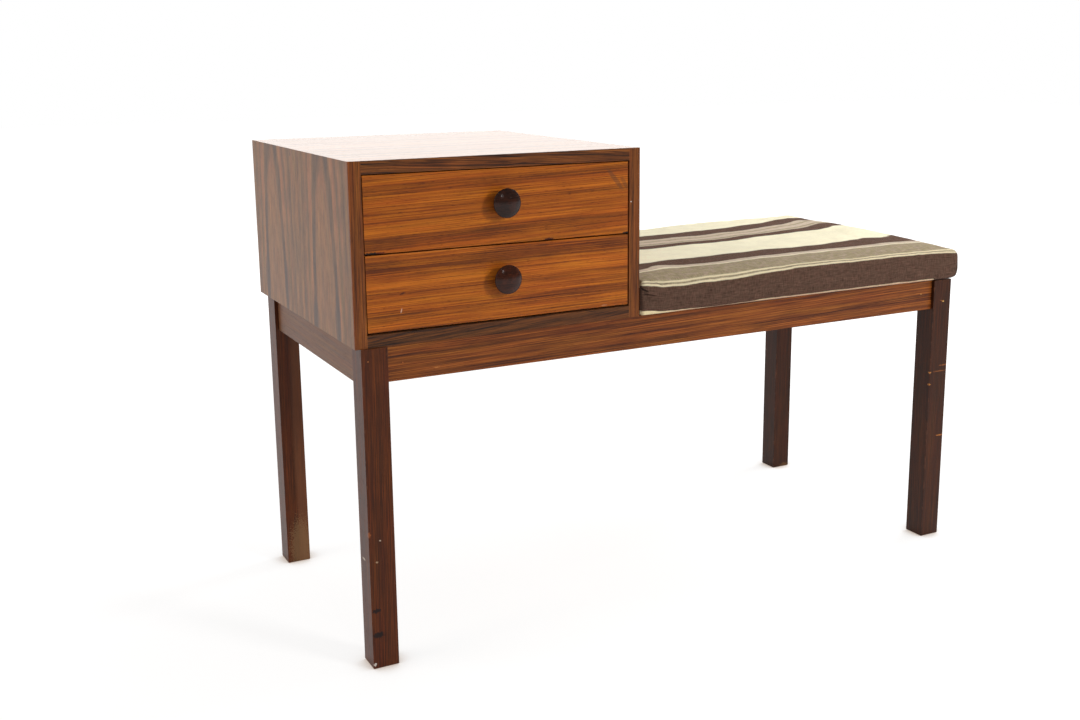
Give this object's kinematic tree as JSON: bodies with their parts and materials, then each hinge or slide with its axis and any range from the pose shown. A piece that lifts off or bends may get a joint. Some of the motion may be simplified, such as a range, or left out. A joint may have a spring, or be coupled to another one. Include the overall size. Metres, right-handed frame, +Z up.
{
  "type": "telephone bench",
  "caption": "Low telephone bench: a four-legged rail frame carries a cabinet with two inset drawers at one end and a loose striped seat cushion at the other.",
  "frame": {"origin": "on the floor, in the middle of the bench's whole footprint, knobs and cushion overhang included", "axes": "+X to the right as seen from the front, along the bench's length; the drawers open towards -Y; +Z up"},
  "size_m": [0.917, 0.427, 0.605],
  "materials": {
    "stained_wood": "dark stained, satin lacquer",
    "rosewood_rail": "oiled rosewood veneer, grain along the rail",
    "rosewood_case": "satin lacquered rosewood veneer, upright grain",
    "rosewood_top": "satin lacquered rosewood veneer, grain side to side",
    "rosewood_edge": "solid rosewood strip, satin",
    "rosewood_front": "satin lacquered rosewood veneer, grain side to side",
    "dark_turned_wood": "turned, near black, semi gloss",
    "beech": "planed, untreated",
    "softwood": "sawn, untreated",
    "plywood": "sanded plywood",
    "screw_steel": "plain zinc",
    "striped_fabric": "woven wool and cotton in brown, grey and cream stripes",
    "foam": "upholstery foam"
  },
  "bodies": {
    "bench": {"back_panel_pins": "screw_steel", "back_rail": "rosewood_rail", "bottom_lipping": "rosewood_edge", "cabinet_back": "plywood", "cabinet_bottom": "rosewood_case", "cabinet_cleat_back": "softwood", "cabinet_cleat_front": "softwood", "cabinet_left_side": "rosewood_case", "cabinet_right_side": "rosewood_case", "cabinet_screws": "screw_steel", "cabinet_top": "rosewood_top", "cleat_screws": "screw_steel", "front_rail": "rosewood_rail", "left_end_rail": "rosewood_rail", "left_lipping": "rosewood_edge", "leg_back_left": "stained_wood", "leg_back_right": "stained_wood", "leg_front_left": "stained_wood", "leg_front_right": "stained_wood", "lower_left_runner": "beech", "lower_right_runner": "beech", "middle_rail": "beech", "mitre_splines": "beech", "rail_dowels": "beech", "right_end_rail": "rosewood_rail", "right_lipping": "rosewood_edge", "runner_screws": "screw_steel", "seat_board": "plywood", "seat_board_screws": "screw_steel", "seat_cleat_back": "softwood", "seat_cleat_front": "softwood", "seat_cleat_left": "softwood", "seat_cleat_right": "softwood", "top_lipping": "rosewood_edge", "upper_left_runner": "beech", "upper_right_runner": "beech"},
    "upper_drawer": {"upper_drawer_front": "rosewood_front", "upper_drawer_left_side": "beech", "upper_drawer_right_side": "beech", "upper_drawer_back": "beech", "upper_drawer_bottom": "plywood", "upper_bottom_pins": "screw_steel", "upper_knob": "dark_turned_wood", "upper_knob_screw": "screw_steel"},
    "lower_drawer": {"lower_drawer_front": "rosewood_front", "lower_drawer_left_side": "beech", "lower_drawer_right_side": "beech", "lower_drawer_back": "beech", "lower_drawer_bottom": "plywood", "lower_bottom_pins": "screw_steel", "lower_knob": "dark_turned_wood", "lower_knob_screw": "screw_steel"},
    "cushion": {"cushion_cover": "striped_fabric", "cushion_foam": "foam"}
  },
  "joints": [
    {"name": "upper_drawer_slide", "type": "slide", "parent": "bench", "child": "upper_drawer", "axis": [0, -1, 0], "range_m": [0, 0.25]},
    {"name": "lower_drawer_slide", "type": "slide", "parent": "bench", "child": "lower_drawer", "axis": [0, -1, 0], "range_m": [0, 0.25]},
    {"name": "cushion_lift", "type": "slide", "parent": "bench", "child": "cushion", "axis": [0, 0, 1], "range_m": [0, 0.25]}
  ]
}
